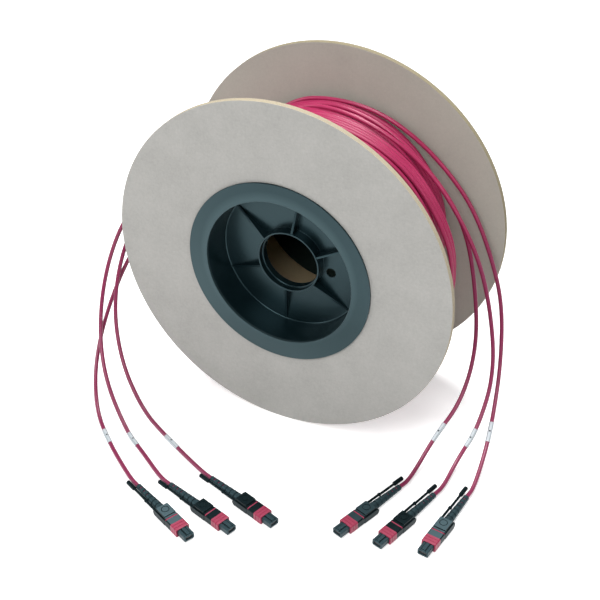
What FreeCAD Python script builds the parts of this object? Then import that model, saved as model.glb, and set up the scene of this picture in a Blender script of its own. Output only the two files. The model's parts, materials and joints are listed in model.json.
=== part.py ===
# Fibre optic trunk cable: three cables wound together on a cardboard reel that stands on its rims.
# Each cable comes off the winding at both ends as a leg with a label sleeve and a push-pull array plug.
# Millimetres, +Z up. The reel's axis lies along Y, its front flange faces -Y, and the origin is on the
# floor under the middle of the reel.
import FreeCAD, Part
import math
import os

import Sketcher

Vector = FreeCAD.Vector
Rotation = FreeCAD.Rotation
Placement = FreeCAD.Placement

# Driving dimensions. Depths in the hub are measured in from the flange's outer face, and stations along
# a plug are measured back from the tip of its nose.
SIZES = {
    "flange_diameter": 300,
    "flange_thickness": 5,
    "reel_width": 127,
    "tube_outer_diameter": 152,
    "tube_inner_diameter": 136,

    "hub_ring_diameter": 164,
    "hub_ring_height": 1.8,
    "hub_mouth_diameter": 131,
    "hub_floor_diameter": 128,
    "hub_floor_depth": 26.6,
    "hub_wall": 2,
    "hub_edge": 0.7,
    "boss_diameter": 56,
    "boss_depth": 17.3,
    "spindle_bore_diameter": 51,
    "counterbore_diameter": 53,
    "counterbore_length": 5,
    "rib_thickness": 2,
    "rib_count": 6,
    "rib_angle": 24,
    "drive_hole_diameter": 8.6,
    "drive_hole_pitch_radius": 35.2,
    "drive_hole_angle": -32.5,

    "cable_diameter": 3.6,
    "winding_diameter": 207,
    "cable_count": 3,
    "winding_turns": 11,
    "winding_groove": 1.4,
    "winding_side_gap": 0.3,
    "loose_turn_diameter": 185,
    "loose_turn_shift": 34,
    "loose_turn_angle": -22,
    "loose_turn_middle": 6,
    "loose_turn_width": 22,

    "label_length": 16,
    "label_diameter": 4.2,
    "label_bore": 3.7,

    "plug_axis_height": 3.85,
    "nose_width": 9.2,
    "nose_height": 5.4,
    "nose_edge": 0.8,
    "key_width": 3,
    "key_height": 0.85,
    "key_front": 1.2,
    "key_back": 9,
    "ferrule_front": 1,
    "ferrule_shoulder": 9,
    "ferrule_back": 11,
    "ferrule_width": 6.4,
    "ferrule_height": 2.5,
    "ferrule_clearance": 0.1,
    "pin_hole_diameter": 0.7,
    "pin_hole_pitch": 4.6,
    "shoulder_width": 7.2,
    "shoulder_height": 3.2,
    "shoulder_clearance": 0.2,
    "housing_stop": 8.95,
    "housing_back": 19,
    "spring_front": 11.35,
    "spring_back": 18.65,
    "spring_width": 6,
    "spring_height": 2.3,
    "spring_wire": 0.5,
    "spring_turns": 5,
    "rear_body_front": 19,
    "rear_body_back": 29,
    "rear_body_width": 9,
    "rear_body_height": 5.2,
    "tail_back": 38,
    "tail_diameter": 5,

    "collar_front": 9.2,
    "collar_back": 17.2,
    "collar_width": 12.5,
    "collar_height": 7.7,
    "collar_edge": 1.2,
    "grip_groove_front": 11.5,
    "grip_groove_length": 0.5,
    "grip_groove_depth": 0.3,
    "grip_groove_pitch": 2.9,
    "grip_groove_count": 2,
    "sleeve_back": 25.4,
    "sleeve_width": 11.3,
    "sleeve_height": 6.5,
    "sleeve_bore_width": 9.6,
    "sleeve_bore_height": 5.8,
    "window_rib_front": 23.7,
    "window_rib_back": 24.7,
    "window_rib_width": 10,
    "window_rib_top": 3.7,

    "band_front": 17.2,
    "band_back": 25.5,
    "band_width": 12.4,
    "band_height": 7.6,
    "band_bore_width": 11.3,
    "band_bore_height": 6.5,
    "window_front": 23.5,
    "window_back": 24.9,
    "window_width": 10.8,
    "pad_front": 26.6,
    "pad_back": 38.6,
    "pad_width": 10.8,
    "pad_top": 4.9,
    "channel_width": 9.4,
    "throat_roof": 3,
    "channel_roof": 3.9,
    "rail_back": 42,
    "rail_width": 12.8,
    "rail_bottom": -3.3,
    "rail_top": 2.4,
    "rail_end": 2.6,
    "thumb_mark_station": 33.6,
    "thumb_mark_diameter": 7,
    "thumb_mark_depth": 0.35,
    "rod_up": 0.3,
    "rod_front": 40,
    "rod_back": 54,
    "rod_diameter": 2.1,
    "rod_across": -5.1,
    "rod_ring_front": 53.2,
    "rod_ring_back": 54.8,
    "rod_ring_diameter": 3.1,
    "rod_ring_across": -4.8,
    "rod_tail_front": 54,
    "rod_tail_back": 73.7,
    "rod_tail_diameter": 2.1,
    "rod_tail_across": -4.45,
    "knob_front": 73.2,
    "knob_back": 85,
    "knob_diameter": 3.7,
    "knob_across": -4.45,

    "boot_front": 29.2,
    "boot_shoulder": 43,
    "boot_back": 73,
    "boot_diameter": 7.5,
    "boot_end_diameter": 5,
    "boot_front_bore": 5,
    "boot_front_bore_back": 38.2,
    "boot_cable_bore": 3.8,
    "boot_ring_count": 6,
    "boot_neck_length": 1.4,
    "boot_neck_share": 0.45,
    "boot_lead": 13,
}

# Where each plug lies on the floor: the tip of its nose, and the way it points, turned from +X.
PLUG_PLACES = {
    "left_1": (6.5, -228.9, -24.7),
    "left_2": (32.0, -207.3, -17.7),
    "left_3": (58.4, -185.8, -17.7),
    "right_1": (107.0, -173.1, -108.8),
    "right_2": (139.6, -170.3, -105.4),
    "right_3": (174.7, -163.2, -96.9),
}

# Route of each leg from the winding to the floor. The run into the boot is added from the plug's place.
LEG_ROUTES = {
    "left_1": [(6, -3, 250), (-31.5, -8, 250.5), (-72, -14, 230), (-106, -24, 196.5), (-132.5, -36, 155),
               (-155.5, -53.5, 112.5), (-165, -80, 66), (-161.5, -107.5, 31), (-142.5, -137, 7.5),
               (-111.5, -164, 3.5)],
    "left_2": [(14, -15, 249), (-24.5, -20, 252), (-66, -24, 234.5), (-114, -35, 202), (-153, -49.5, 160.5),
               (-168, -66.5, 111.5), (-165.5, -90, 63.5), (-146, -116, 27), (-106.5, -144.5, 2),
               (-78.5, -162.5, 4.5)],
    "left_3": [(22, 10, 247.5), (-17.5, 6, 253.5), (-60, 2, 238.5), (-104, -12, 210.5), (-140, -31.5, 173),
               (-157.5, -53, 127.5), (-157, -77.5, 80), (-138.5, -100, 38.5), (-105.5, -120.5, 9.5),
               (-70, -137.5, 4.5)],
    "right_1": [(-47.5, 42, 239.5), (-14.5, 41.5, 254.5), (22, 39.5, 253.5), (57, 37, 241), (95, 37, 209),
                (122, 37.5, 171), (138.5, 27, 122), (149.5, 10.5, 74.5), (149, -17, 36.5), (138, -48, 16.5)],
    "right_2": [(-60, 36, 232), (-28, 35, 251.5), (5, 33, 255.5), (41, 30, 249), (73.5, 31.5, 231),
                (102.5, 33.5, 203), (134, 30.5, 158), (153.5, 21.5, 115), (170, 1, 63.5), (169, -27.5, 23.5),
                (162, -55.5, 7)],
    "right_3": [(-72, 50, 221.5), (-44, 50.5, 246), (-10.5, 50, 255), (29, 50, 253.5), (63, 51, 239),
                (95, 53, 213), (122.5, 52.5, 181.5), (145, 46.5, 139.5), (159.5, 39.5, 102.5),
                (169.5, 18.5, 58.5), (175.5, -8.5, 26), (180.5, -37.5, 11)],
}

# How far along the leg each label's middle is from the mouth of the boot.
LABEL_REACHES = {"left_1": 69, "left_2": 67, "left_3": 57, "right_1": 63, "right_2": 66, "right_3": 70}

# An arc takes this share of the shorter run on each side of its point.
ARC_SHARE = 0.45

# Directions in a plug, and the cosine above which an edge counts as lying along one of them.
ALONG_PLUG = Vector(1, 0, 0)
ACROSS_PLUG = Vector(0, 1, 0)
PARALLEL = 0.99

doc = FreeCAD.newDocument("trunk_cable")
sheet = doc.addObject("Spreadsheet::Sheet", "Size")
for row, (name, value) in enumerate(SIZES.items(), start=1):
    sheet.set("A%d" % row, name)
    sheet.set("B%d" % row, str(value))
    sheet.setAlias("B%d" % row, name)
doc.recompute()

sub_parts = []


def size(name):
    return float(sheet.get(name))


def sub_part(kind, label):
    """A document object that becomes one node of the assembly."""
    item = doc.addObject(kind, label)
    item.Label = label
    sub_parts.append(item)
    return item


def origin_feature(body, role):
    return next(feature for feature in body.Origin.OriginFeatures if feature.Role == role)


def sketch_on(body, role, offset=None):
    sketch = body.newObject("Sketcher::SketchObject", "Sketch")
    sketch.AttachmentSupport = [(origin_feature(body, role), "")]
    sketch.MapMode = "FlatFace"
    if offset:
        sketch.setExpression("AttachmentOffset.Base.z", offset)
    return sketch


def place_point(sketch, geometry, point, across, up):
    """Holds one point of a sketch at two expressions, measured from the sketch's origin."""
    for kind, expression in (("DistanceX", across), ("DistanceY", up)):
        index = sketch.addConstraint(Sketcher.Constraint(kind, -1, 1, geometry, point, 1.0))
        sketch.setExpression("Constraints[%d]" % index, expression)


def draw_outline(sketch, corners):
    """Closed outline of straight lines whose corners are pairs of expressions."""
    count = len(corners)
    first = sketch.GeometryCount
    seeds = [Vector(math.cos(math.tau * i / count), math.sin(math.tau * i / count), 0) for i in range(count)]
    for i in range(count):
        sketch.addGeometry(Part.LineSegment(seeds[i], seeds[(i + 1) % count]), False)
    for i in range(count):
        sketch.addConstraint(Sketcher.Constraint("Coincident", first + i, 2, first + (i + 1) % count, 1))
    for i, (across, up) in enumerate(corners):
        place_point(sketch, first + i, 1, across, up)


def draw_rectangle(sketch, half_width, low, high):
    left = "-(%s)" % half_width
    draw_outline(sketch, [(left, low), (half_width, low), (half_width, high), (left, high)])


def draw_circle(sketch, radius, across="0", up="0"):
    circle = sketch.addGeometry(Part.Circle(Vector(0, 0, 0), Vector(0, 0, 1), 1), False)
    index = sketch.addConstraint(Sketcher.Constraint("Radius", circle, 1.0))
    sketch.setExpression("Constraints[%d]" % index, radius)
    place_point(sketch, circle, 3, across, up)


def pad(body, sketch, length, symmetric=False):
    feature = body.newObject("PartDesign::Pad", "Pad")
    feature.Profile = sketch
    feature.SideType = "Symmetric" if symmetric else "One side"
    feature.setExpression("Length", length)
    doc.recompute()
    return feature


def pocket(body, sketch, length=None, symmetric=False):
    """A cut that goes back from its sketch, through everything where no length is given."""
    before = body.Shape.Volume
    feature = body.newObject("PartDesign::Pocket", "Pocket")
    feature.Profile = sketch
    feature.SideType = "Symmetric" if symmetric else "One side"
    if length:
        feature.setExpression("Length", length)
    else:
        feature.Type = "ThroughAll"
    doc.recompute()
    if body.Shape.Volume >= before:
        raise RuntimeError("%s: a pocket cut nothing" % body.Label)
    return feature


def revolve(body, sketch, axis):
    feature = body.newObject("PartDesign::Revolution", "Revolution")
    feature.Profile = sketch
    feature.ReferenceAxis = (sketch, [axis])
    feature.Angle = 360
    doc.recompute()
    return feature


def round_edges(body, feature, radius, along, behind=0):
    """Rounds a feature's straight edges that lie along a direction, behind a station of the plug."""
    edges = []
    for number, edge in enumerate(feature.Shape.Edges, start=1):
        slant = abs(edge.tangentAt(edge.FirstParameter).dot(along))
        if slant > PARALLEL and edge.CenterOfMass.x < -behind:
            edges.append("Edge%d" % number)
    fillet = body.newObject("PartDesign::Fillet", "Fillet")
    fillet.Base = (feature, edges)
    fillet.setExpression("Radius", radius)
    doc.recompute()


def plug_block(body, front, back, half_width, low, high):
    """A block of a plug between two stations."""
    sketch = sketch_on(body, "YZ_Plane", "-(%s)" % back)
    draw_rectangle(sketch, half_width, low, high)
    return pad(body, sketch, "%s - %s" % (back, front))


def plug_cavity(body, front, back, half_width, low, high):
    """A rectangular hollow of a plug between two stations."""
    sketch = sketch_on(body, "YZ_Plane", "-(%s)" % front)
    draw_rectangle(sketch, half_width, low, high)
    return pocket(body, sketch, "%s - %s" % (back, front))


def plug_rod(body, front, back, radius, across="0", up="0"):
    """A round stretch of a plug between two stations."""
    sketch = sketch_on(body, "YZ_Plane", "-(%s)" % back)
    draw_circle(sketch, radius, across, up)
    return pad(body, sketch, "%s - %s" % (back, front))


def on_reel(side, distance, spin=0):
    """Placement of a reel piece whose own +Z points out of the reel, on the front (-1) or rear (1) side."""
    turn = Rotation(Vector(1, 0, 0), -90 * side)
    centre = Vector(0, side * distance, size("flange_diameter") / 2)
    return Placement(centre, turn * Rotation(Vector(0, 0, 1), spin))


def at_plug(name):
    x, y, heading = PLUG_PLACES[name]
    return Placement(Vector(x, y, size("plug_axis_height")), Rotation(Vector(0, 0, 1), heading))


def flange(label, side):
    body = sub_part("PartDesign::Body", label)
    sketch = sketch_on(body, "XY_Plane")
    draw_circle(sketch, "Size.flange_diameter / 2")
    draw_circle(sketch, "Size.tube_inner_diameter / 2")
    pad(body, sketch, "Size.flange_thickness")
    body.Placement = on_reel(side, size("reel_width") / 2 - size("flange_thickness"))


def core_tube():
    body = sub_part("PartDesign::Body", "core_tube")
    sketch = sketch_on(body, "XY_Plane")
    draw_circle(sketch, "Size.tube_outer_diameter / 2")
    draw_circle(sketch, "Size.tube_inner_diameter / 2")
    pad(body, sketch, "Size.reel_width - 2 * Size.flange_thickness", symmetric=True)
    body.Placement = on_reel(-1, 0)


def hub(label, side):
    """Moulded cup with a ring on the flange, a spindle boss, gusset ribs and a drive hole."""
    body = sub_part("PartDesign::Body", label)
    ring, mouth, floor = ("Size.hub_%s_diameter / 2" % name for name in ("ring", "mouth", "floor"))
    boss = "Size.boss_diameter / 2"
    bore = "Size.spindle_bore_diameter / 2"
    counterbore = "Size.counterbore_diameter / 2"
    top = "Size.hub_ring_height"
    floor_face = "-Size.hub_floor_depth"
    floor_back = "-Size.hub_floor_depth - Size.hub_wall"
    boss_top = "-Size.boss_depth"
    bore_step = "-Size.boss_depth - Size.counterbore_length"
    section = sketch_on(body, "XZ_Plane")
    draw_outline(section, [
        (ring, "0"),
        (ring, top + " - Size.hub_edge"),
        (ring + " - Size.hub_edge", top),
        (mouth + " + Size.hub_edge", top),
        (mouth, top + " - Size.hub_edge"),
        (floor, floor_face),
        (boss, floor_face),
        (boss, boss_top + " - Size.hub_edge"),
        (boss + " - Size.hub_edge", boss_top),
        (counterbore, boss_top),
        (counterbore, bore_step),
        (bore, bore_step),
        (bore, floor_back),
        (floor + " + Size.hub_wall", floor_back),
        (mouth + " + Size.hub_wall", "0"),
    ])
    revolve(body, section, "V_Axis")

    rib_sketch = sketch_on(body, "XZ_Plane")
    rib_root = boss + " - Size.hub_edge"
    rib_base = "-Size.hub_floor_depth - Size.hub_wall / 2"
    draw_outline(rib_sketch, [
        (rib_root, boss_top + " - Size.hub_edge"),
        (rib_root, rib_base),
        (floor, rib_base),
        (floor, floor_face),
    ])
    rib = pad(body, rib_sketch, "Size.rib_thickness", symmetric=True)
    ribs = body.newObject("PartDesign::PolarPattern", "Ribs")
    ribs.Originals = [rib]
    ribs.Axis = (origin_feature(body, "Z_Axis"), [""])
    ribs.Angle = 360
    ribs.setExpression("Occurrences", "Size.rib_count")
    body.Tip = ribs
    doc.recompute()

    hole = sketch_on(body, "XY_Plane")
    reach, angle = "Size.drive_hole_pitch_radius", "Size.drive_hole_angle * 1 deg"
    draw_circle(hole, "Size.drive_hole_diameter / 2",
                "%s * cos(%s)" % (reach, angle), "%s * sin(%s)" % (reach, angle))
    pocket(body, hole)
    body.Placement = on_reel(side, size("reel_width") / 2, size("rib_angle"))


def cable_winding():
    """The wound cable: a ring with a ridge for each cable of each turn, and a band of loose last turns."""
    body = sub_part("PartDesign::Body", "cable_winding")
    section = sketch_on(body, "XZ_Plane")
    half = "(Size.reel_width / 2 - Size.flange_thickness - Size.winding_side_gap)"
    inner = "Size.tube_outer_diameter / 2"
    crest = "Size.winding_diameter / 2"
    groove = "Size.winding_diameter / 2 - Size.winding_groove"
    ridges = int(size("winding_turns") * size("cable_count"))
    corners = [(inner, "-" + half), (groove, "-" + half)]
    for ridge in range(ridges):
        corners.append((crest, "%s * %d / %d" % (half, 2 * ridge + 1 - ridges, ridges)))
        corners.append((groove, "%s * %d / %d" % (half, 2 * ridge + 2 - ridges, ridges)))
    corners.append((inner, half))
    draw_outline(section, corners)
    revolve(body, section, "V_Axis")

    loose_turns = sketch_on(body, "XY_Plane", "-Size.loose_turn_middle")
    across = "Size.loose_turn_shift * cos(Size.loose_turn_angle * 1 deg)"
    up = "Size.loose_turn_shift * sin(Size.loose_turn_angle * 1 deg)"
    draw_circle(loose_turns, "Size.loose_turn_diameter / 2", across, up)
    draw_circle(loose_turns, "Size.loose_turn_diameter / 2 - Size.cable_diameter", across, up)
    pad(body, loose_turns, "Size.loose_turn_width", symmetric=True)
    room_for_tube = sketch_on(body, "XY_Plane")
    draw_circle(room_for_tube, inner)
    pocket(body, room_for_tube, symmetric=True)
    body.Placement = on_reel(-1, 0)


def leg_points(name):
    """The whole route of a leg, ending at the mouth of its plug's boot."""
    plug = at_plug(name)
    mouth = plug.multVec(Vector(-size("boot_back"), 0, 0))
    lead = plug.multVec(Vector(-size("boot_back") - size("boot_lead"), 0, 0))
    return [Vector(*point) for point in LEG_ROUTES[name]] + [lead, mouth]


def rounded_corners(points):
    """For each inner point of a route: the start, middle and end of its tangent arc, and the arc's radius."""
    arcs = []
    for before, corner, after in zip(points, points[1:], points[2:]):
        back, ahead = (before - corner), (after - corner)
        reach = ARC_SHARE * min(back.Length, ahead.Length)
        half_turn = (math.pi - back.getAngle(ahead)) / 2
        radius = reach / math.tan(half_turn)
        inward = (back.normalize() + ahead.normalize()).normalize()
        middle = corner + inward * (radius / math.cos(half_turn) - radius)
        arcs.append((corner + back * reach, middle, corner + ahead * reach, radius))
    return arcs


def leg_edges(name):
    """The straight runs and arcs of a leg, and on through the boot to the tail of the plug's rear body."""
    points = leg_points(name)
    cable_end = at_plug(name).multVec(Vector(-size("tail_back"), 0, 0))
    edges = []
    place = points[0]
    for start, middle, end, radius in rounded_corners(points):
        edges.append(Part.LineSegment(place, start).toShape())
        edges.append(Part.Arc(start, middle, end).toShape())
        place = end
    edges.append(Part.LineSegment(place, cable_end).toShape())
    return edges


def leg(name):
    """A round cable along its route."""
    points = leg_points(name)
    edges = leg_edges(name)
    route = doc.addObject("Part::Feature", "route_" + name)
    route.Shape = Part.Wire(edges)
    section = doc.addObject("Part::Circle", "section_" + name)
    section.setExpression("Radius", "Size.cable_diameter / 2")
    section.Placement = Placement(points[0], Rotation(Vector(0, 0, 1), points[1] - points[0]))
    tube = sub_part("Part::Sweep", "leg_" + name)
    tube.Sections = [section]
    tube.Spine = (route, ["Edge%d" % (i + 1) for i in range(len(edges))])
    tube.Solid = True
    tube.Frenet = False
    doc.recompute()

    expected = math.pi * size("cable_diameter") ** 2 / 4 * route.Shape.Length
    radii = ", ".join("%.0f" % radius for _, _, _, radius in rounded_corners(points))
    print("leg_%s: length %.0f, volume %.4f of section times length, radii %s"
          % (name, route.Shape.Length, tube.Shape.Volume / expected, radii))


def label_sleeve(name):
    body = sub_part("PartDesign::Body", "label_sleeve_" + name)
    sketch = sketch_on(body, "YZ_Plane")
    draw_circle(sketch, "Size.label_diameter / 2")
    draw_circle(sketch, "Size.label_bore / 2")
    pad(body, sketch, "Size.label_length", symmetric=True)
    left = LABEL_REACHES[name] + size("boot_back") - size("tail_back")
    for edge in reversed(leg_edges(name)):
        if left < edge.Length:
            break
        left -= edge.Length
    place = edge.getParameterByLength(edge.Length - left)
    body.Placement = Placement(edge.valueAt(place), Rotation(Vector(1, 0, 0), edge.tangentAt(place)))


def boot(name):
    """Strain relief over the tail of the rear body, ringed so that it bends and tapered towards the cable."""
    body = sub_part("PartDesign::Body", "boot_" + name)
    count = int(size("boot_ring_count"))
    pitch = "(Size.boot_back - Size.boot_shoulder) / Size.boot_ring_count"
    taper = "(Size.boot_end_diameter - Size.boot_diameter) / Size.boot_ring_count"
    bore = "Size.boot_cable_bore / 2"
    outline = [
        ("-Size.boot_front", "Size.boot_front_bore / 2"),
        ("-Size.boot_front", "Size.boot_diameter / 2"),
        ("-Size.boot_shoulder", "Size.boot_diameter / 2"),
    ]
    for ring in range(count):
        start = "-Size.boot_shoulder - %s * %d" % (pitch, ring)
        end = "-Size.boot_shoulder - %s * %d" % (pitch, ring + 1)
        radius = "(Size.boot_diameter + %s * %d) / 2" % (taper, ring + 1)
        neck = "%s + (%s - %s) * Size.boot_neck_share" % (bore, radius, bore)
        outline += [(start, neck), (start + " - Size.boot_neck_length", neck)]
        outline += [(start + " - Size.boot_neck_length", radius), (end, radius)]
    outline += [
        ("-Size.boot_back", bore),
        ("-Size.boot_front_bore_back", bore),
        ("-Size.boot_front_bore_back", "Size.boot_front_bore / 2"),
    ]
    section = sketch_on(body, "XZ_Plane")
    draw_outline(section, outline)
    revolve(body, section, "H_Axis")
    body.Placement = at_plug(name)


def rear_body(name):
    """The piece that closes the inner housing behind the spring, with a tail for the cable."""
    body = sub_part("PartDesign::Body", "rear_body_" + name)
    plug_block(body, "Size.rear_body_front", "Size.rear_body_back",
               "Size.rear_body_width / 2", "-Size.rear_body_height / 2", "Size.rear_body_height / 2")
    plug_rod(body, "Size.rear_body_back", "Size.tail_back", "Size.tail_diameter / 2")
    body.Placement = at_plug(name)


def inner_housing(name):
    """The nose with its key, open in front for the ferrule and hollow behind for its shoulder and spring."""
    body = sub_part("PartDesign::Body", "inner_housing_" + name)
    nose = plug_block(body, "0", "Size.housing_back",
                      "Size.nose_width / 2", "-Size.nose_height / 2", "Size.nose_height / 2")
    round_edges(body, nose, "Size.nose_edge", ALONG_PLUG)
    plug_block(body, "Size.key_front", "Size.key_back", "Size.key_width / 2",
               "Size.nose_height / 2 - Size.key_height", "Size.nose_height / 2 + Size.key_height")
    window_top = "Size.ferrule_height / 2 + Size.ferrule_clearance"
    hollow_top = "Size.shoulder_height / 2 + Size.shoulder_clearance"
    plug_cavity(body, "0", "Size.housing_stop",
                "Size.ferrule_width / 2 + Size.ferrule_clearance", "-(%s)" % window_top, window_top)
    plug_cavity(body, "Size.housing_stop", "Size.housing_back",
                "Size.shoulder_width / 2 + Size.shoulder_clearance", "-(%s)" % hollow_top, hollow_top)
    body.Placement = at_plug(name)


def ferrule(name):
    """The block that holds the fibre ends, with two holes for guide pins."""
    body = sub_part("PartDesign::Body", "ferrule_" + name)
    plug_block(body, "Size.ferrule_front", "Size.ferrule_shoulder",
               "Size.ferrule_width / 2", "-Size.ferrule_height / 2", "Size.ferrule_height / 2")
    plug_block(body, "Size.ferrule_shoulder", "Size.ferrule_back",
               "Size.shoulder_width / 2", "-Size.shoulder_height / 2", "Size.shoulder_height / 2")
    pin_holes = sketch_on(body, "YZ_Plane", "-Size.ferrule_front")
    for side in ("", "-"):
        draw_circle(pin_holes, "Size.pin_hole_diameter / 2", side + "Size.pin_hole_pitch / 2")
    pocket(body, pin_holes)
    body.Placement = at_plug(name)


def ferrule_spring(name):
    """Coil of flat-sided turns that fills the housing's low rectangular hollow."""
    half_width, half_height = size("spring_width") / 2, size("spring_height") / 2
    corners = [(-half_width, -half_height), (half_width, -half_height),
               (half_width, half_height), (-half_width, half_height)]
    steps = 4 * int(size("spring_turns"))
    advance = (size("spring_back") - size("spring_front")) / steps
    points = [Vector(-size("spring_front") - advance * step, *corners[step % 4]) for step in range(steps + 1)]
    path = doc.addObject("Part::Feature", "coil_" + name)
    path.Shape = Part.makePolygon(points)
    section = doc.addObject("Part::RegularPolygon", "wire_" + name)
    section.Polygon = 4
    section.setExpression("Circumradius", "Size.spring_wire / sqrt(2)")
    section.Placement = Placement(points[0], Rotation(Vector(0, 0, 1), points[1] - points[0]))
    spring = sub_part("Part::Sweep", "ferrule_spring_" + name)
    spring.Sections = [section]
    spring.Spine = (path, ["Edge%d" % (i + 1) for i in range(steps)])
    spring.Solid = True
    spring.Frenet = False
    spring.Transition = "Right corner"
    doc.recompute()
    spring.Placement = at_plug(name)


def outer_housing(name):
    """The sliding sleeve: a collar in front, and a thinner stretch behind that the pull tab clips onto."""
    body = sub_part("PartDesign::Body", "outer_housing_" + name)
    collar = plug_block(body, "Size.collar_front", "Size.collar_back",
                        "Size.collar_width / 2", "-Size.collar_height / 2", "Size.collar_height / 2")
    round_edges(body, collar, "Size.collar_edge", ALONG_PLUG)
    plug_block(body, "Size.collar_back", "Size.sleeve_back",
               "Size.sleeve_width / 2", "-Size.sleeve_height / 2", "Size.sleeve_height / 2")
    plug_block(body, "Size.window_rib_front", "Size.window_rib_back",
               "Size.window_rib_width / 2", "Size.sleeve_bore_height / 2", "Size.window_rib_top")
    plug_cavity(body, "Size.collar_front", "Size.sleeve_back",
                "Size.sleeve_bore_width / 2", "-Size.sleeve_bore_height / 2", "Size.sleeve_bore_height / 2")

    groove = sketch_on(body, "YZ_Plane", "-Size.grip_groove_front")
    for inset in ("-Size.grip_groove_depth", "Size.grip_groove_depth"):
        top = "Size.collar_height / 2 - (%s)" % inset
        draw_rectangle(groove, "Size.collar_width / 2 - (%s)" % inset, "-(%s)" % top, top)
    cut = pocket(body, groove, "Size.grip_groove_length")
    grip = body.newObject("PartDesign::LinearPattern", "Grip")
    grip.Originals = [cut]
    grip.Direction = (origin_feature(body, "X_Axis"), [""])
    grip.Reversed = True
    grip.setExpression("Length", "Size.grip_groove_pitch * (Size.grip_groove_count - 1)")
    grip.setExpression("Occurrences", "Size.grip_groove_count")
    body.Tip = grip
    body.Placement = at_plug(name)


def pull_tab(name):
    """Clip round the sliding sleeve: a thumb pad between two rails, and a pull rod that ends in a knob."""
    body = sub_part("PartDesign::Body", "pull_tab_" + name)
    band = plug_block(body, "Size.band_front", "Size.band_back",
                      "Size.band_width / 2", "-Size.band_height / 2", "Size.band_height / 2")
    round_edges(body, band, "Size.collar_edge", ALONG_PLUG)
    rails = plug_block(body, "Size.band_back", "Size.rail_back",
                       "Size.rail_width / 2", "Size.rail_bottom", "Size.rail_top")
    round_edges(body, rails, "Size.rail_end", ACROSS_PLUG, behind=size("pad_back"))
    plug_block(body, "Size.band_back", "Size.pad_back",
               "Size.pad_width / 2", "Size.rail_bottom", "Size.band_height / 2")
    plug_block(body, "Size.pad_front", "Size.pad_back",
               "Size.pad_width / 2", "Size.throat_roof", "Size.pad_top")
    plug_cavity(body, "Size.band_front", "Size.band_back",
                "Size.band_bore_width / 2", "-Size.band_bore_height / 2", "Size.band_bore_height / 2")
    plug_cavity(body, "Size.band_back", "Size.pad_front",
                "Size.channel_width / 2", "-Size.band_height", "Size.throat_roof")
    plug_cavity(body, "Size.pad_front", "Size.rail_back",
                "Size.channel_width / 2", "-Size.band_height", "Size.channel_roof")
    plug_cavity(body, "Size.window_front", "Size.window_back",
                "Size.window_width / 2", "Size.throat_roof", "Size.pad_top")
    mark = sketch_on(body, "XY_Plane", "Size.pad_top")
    draw_circle(mark, "Size.thumb_mark_diameter / 2", "-Size.thumb_mark_station")
    pocket(body, mark, "Size.thumb_mark_depth")
    for stretch in ("rod", "rod_ring", "rod_tail", "knob"):
        plug_rod(body, "Size.%s_front" % stretch, "Size.%s_back" % stretch, "Size.%s_diameter / 2" % stretch,
                 "Size.%s_across" % stretch, "Size.rod_up")
    body.Placement = at_plug(name)


flange("front_flange", -1)
flange("rear_flange", 1)
core_tube()
hub("front_hub", -1)
hub("rear_hub", 1)
cable_winding()
for plug_name in PLUG_PLACES:
    for make in (leg, label_sleeve, boot, rear_body, inner_housing, ferrule, ferrule_spring, outer_housing,
                 pull_tab):
        make(plug_name)
doc.recompute()

for item in doc.Objects:
    if "Invalid" in item.State or "Error" in item.State:
        raise RuntimeError("%s failed: %s" % (item.Label, item.State))
for item in sub_parts:
    if item.Shape.isNull() or not item.Shape.isValid() or len(item.Shape.Solids) != 1:
        raise RuntimeError("%s is not one valid solid" % item.Label)

os.makedirs("parts", exist_ok=True)
for item in sub_parts:
    item.Shape.exportStep("parts/%s.step" % item.Label)
print("wrote %d pieces" % len(sub_parts))
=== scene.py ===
# %% [markdown]
# A fibre optic trunk cable on its reel: three magenta cables wound side by side on a board reel, each
# ending on both sides in a leg with a label sleeve and a push-pull plug. The solid model is already there
# as a fixed frame. This script dresses it: every visible piece gets its rounded edges, its fine shapes and
# its finish, and sits where the frame says. Only the loose turns, the ends of the winding and the thin pull
# rods leave their solids, by a few millimetres, to follow the real object more closely.

# %% Load the frame
import json
import math

import bmesh
import bpy
from mathutils import Matrix, Vector


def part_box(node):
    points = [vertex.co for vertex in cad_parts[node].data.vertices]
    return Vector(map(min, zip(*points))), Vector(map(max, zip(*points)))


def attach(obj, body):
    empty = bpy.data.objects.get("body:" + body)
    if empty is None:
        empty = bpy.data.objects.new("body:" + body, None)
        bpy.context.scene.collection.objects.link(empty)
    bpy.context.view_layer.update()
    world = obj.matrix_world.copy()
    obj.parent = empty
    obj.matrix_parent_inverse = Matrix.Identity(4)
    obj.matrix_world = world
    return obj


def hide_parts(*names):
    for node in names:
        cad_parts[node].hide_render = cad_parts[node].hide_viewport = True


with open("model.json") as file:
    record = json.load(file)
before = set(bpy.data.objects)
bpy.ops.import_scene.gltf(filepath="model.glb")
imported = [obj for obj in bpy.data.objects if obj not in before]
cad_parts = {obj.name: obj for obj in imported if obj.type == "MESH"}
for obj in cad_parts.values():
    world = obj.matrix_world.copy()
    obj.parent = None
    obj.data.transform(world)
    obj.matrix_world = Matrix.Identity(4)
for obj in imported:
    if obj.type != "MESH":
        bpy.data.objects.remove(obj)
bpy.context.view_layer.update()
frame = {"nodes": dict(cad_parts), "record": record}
MM = 0.001
LEGS = ["left_1", "left_2", "left_3", "right_1", "right_2", "right_3"]
scene = bpy.context.scene

# %% [markdown]
# The camera comes first, because everything else is judged through it. It looks down on the reel from the
# front right, as a product photographer would to show the hub and both sets of plugs at once. The numbers
# are its turn round the reel, its tilt down, the point it looks at and its distance.

# %% Camera
VIEW_TURN = math.radians(26.62)
VIEW_TILT = math.radians(34.97)
VIEW_DISTANCE = 1093 * MM
LOOK_AT = Vector((-12.1, 0, 80.1)) * MM
FOCAL_LENGTH_IN_WIDTHS = 1238 / 600

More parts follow.
